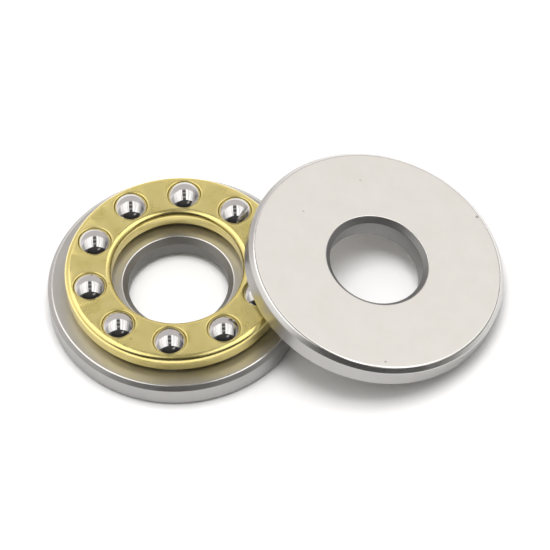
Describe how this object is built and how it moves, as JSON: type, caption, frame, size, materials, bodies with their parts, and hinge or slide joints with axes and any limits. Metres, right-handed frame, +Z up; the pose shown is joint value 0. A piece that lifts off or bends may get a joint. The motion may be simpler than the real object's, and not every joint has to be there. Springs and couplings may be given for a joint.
{
  "type": "thrust ball bearing",
  "caption": "Small single-direction thrust ball bearing, laid open: housing washer, brass cage with balls, and shaft washer leaning on them.",
  "frame": {"origin": "centre of the housing washer's back face, which lies on the surface", "axes": "+Z up along the housing washer's axis; +X the way the leaning shaft washer runs downhill, along the longest extent"},
  "size_m": [0.0383, 0.0236, 0.0078],
  "materials": {
    "washer_steel": "ground",
    "ball_steel": "polished",
    "cage_brass": "bright stamped"
  },
  "bodies": {
    "housing": {"housing_washer": "washer_steel"},
    "cage": {"cage_lower_shell": "cage_brass", "cage_upper_shell": "cage_brass"},
    "shaft_side": {"shaft_washer": "washer_steel"},
    "ball_01_body": {"ball_01": "ball_steel"},
    "ball_02_body": {"ball_02": "ball_steel"},
    "ball_03_body": {"ball_03": "ball_steel"},
    "ball_04_body": {"ball_04": "ball_steel"},
    "ball_05_body": {"ball_05": "ball_steel"},
    "ball_06_body": {"ball_06": "ball_steel"},
    "ball_07_body": {"ball_07": "ball_steel"},
    "ball_08_body": {"ball_08": "ball_steel"},
    "ball_09_body": {"ball_09": "ball_steel"},
    "ball_10_body": {"ball_10": "ball_steel"}
  },
  "joints": [
    {"name": "shaft_washer_spin", "type": "hinge", "parent": "housing", "child": "shaft_side", "pos_m": [0.01678, 0.0016, 0.00498], "axis": [0.2622, 0, 0.965], "continuous": true},
    {"name": "cage_spin", "type": "hinge", "parent": "housing", "child": "cage", "pos_m": [0, 0, 0.0035], "axis": [0, 0, 1], "continuous": true},
    {"name": "ball_01_spin", "type": "hinge", "parent": "cage", "child": "ball_01_body", "pos_m": [0.00706, 0.00254, 0.0035], "axis": [0.9409, 0.3387, 0], "continuous": true},
    {"name": "ball_02_spin", "type": "hinge", "parent": "cage", "child": "ball_02_body", "pos_m": [0.00422, 0.0062, 0.0035], "axis": [0.5621, 0.8271, 0], "continuous": true},
    {"name": "ball_03_spin", "type": "hinge", "parent": "cage", "child": "ball_03_body", "pos_m": [-0.00024, 0.0075, 0.0035], "axis": [-0.0314, 0.9995, 0], "continuous": true},
    {"name": "ball_04_spin", "type": "hinge", "parent": "cage", "child": "ball_04_body", "pos_m": [-0.0046, 0.00593, 0.0035], "axis": [-0.6129, 0.7902, 0], "continuous": true},
    {"name": "ball_05_spin", "type": "hinge", "parent": "cage", "child": "ball_05_body", "pos_m": [-0.0072, 0.00209, 0.0035], "axis": [-0.9603, 0.279, 0], "continuous": true},
    {"name": "ball_06_spin", "type": "hinge", "parent": "cage", "child": "ball_06_body", "pos_m": [-0.00706, -0.00254, 0.0035], "axis": [-0.9409, -0.3387, 0], "continuous": true},
    {"name": "ball_07_spin", "type": "hinge", "parent": "cage", "child": "ball_07_body", "pos_m": [-0.00422, -0.0062, 0.0035], "axis": [-0.5621, -0.8271, 0], "continuous": true},
    {"name": "ball_08_spin", "type": "hinge", "parent": "cage", "child": "ball_08_body", "pos_m": [0.00024, -0.0075, 0.0035], "axis": [0.0314, -0.9995, 0], "continuous": true},
    {"name": "ball_09_spin", "type": "hinge", "parent": "cage", "child": "ball_09_body", "pos_m": [0.0046, -0.00593, 0.0035], "axis": [0.6129, -0.7902, 0], "continuous": true},
    {"name": "ball_10_spin", "type": "hinge", "parent": "cage", "child": "ball_10_body", "pos_m": [0.0072, -0.00209, 0.0035], "axis": [0.9603, -0.279, 0], "continuous": true}
  ],
  "couplings": [
    {"joint": "cage_spin", "follows": "shaft_washer_spin", "ratio": 0.5},
    {"joint": "ball_01_spin", "follows": "shaft_washer_spin", "ratio": -2.3622},
    {"joint": "ball_02_spin", "follows": "shaft_washer_spin", "ratio": -2.3622},
    {"joint": "ball_03_spin", "follows": "shaft_washer_spin", "ratio": -2.3622},
    {"joint": "ball_04_spin", "follows": "shaft_washer_spin", "ratio": -2.3622},
    {"joint": "ball_05_spin", "follows": "shaft_washer_spin", "ratio": -2.3622},
    {"joint": "ball_06_spin", "follows": "shaft_washer_spin", "ratio": -2.3622},
    {"joint": "ball_07_spin", "follows": "shaft_washer_spin", "ratio": -2.3622},
    {"joint": "ball_08_spin", "follows": "shaft_washer_spin", "ratio": -2.3622},
    {"joint": "ball_09_spin", "follows": "shaft_washer_spin", "ratio": -2.3622},
    {"joint": "ball_10_spin", "follows": "shaft_washer_spin", "ratio": -2.3622}
  ]
}
